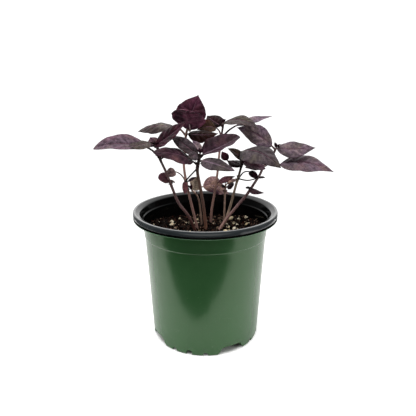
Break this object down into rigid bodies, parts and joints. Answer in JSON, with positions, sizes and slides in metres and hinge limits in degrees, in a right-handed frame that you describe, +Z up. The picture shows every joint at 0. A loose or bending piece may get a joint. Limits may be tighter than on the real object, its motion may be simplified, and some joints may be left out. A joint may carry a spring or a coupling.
{
  "type": "potted red rosie basil",
  "caption": "Young purple-leaved basil plants standing in potting mix in a thin green nursery pot with a rolled black lip.",
  "frame": {"origin": "on the surface that the pot stands on, under the middle of the foliage's spread; the pot's own axis is 8 mm to the -X side of it", "axes": "+Z up along the pot's axis, -Y towards the viewer of the picture, +X to the viewer's right"},
  "size_m": [0.1807, 0.114, 0.193],
  "materials": {
    "pot_plastic": "satin",
    "soil": "matte",
    "foliage": "satin"
  },
  "bodies": {
    "root": {"nursery_pot": "pot_plastic", "potting_mix": "soil", "plant_left": "foliage", "plant_tall": "foliage", "plant_sprout": "foliage", "plant_front": "foliage", "plant_centre": "foliage", "plant_back": "foliage", "plant_right_inner": "foliage", "plant_right": "foliage"}
  },
  "joints": []
}
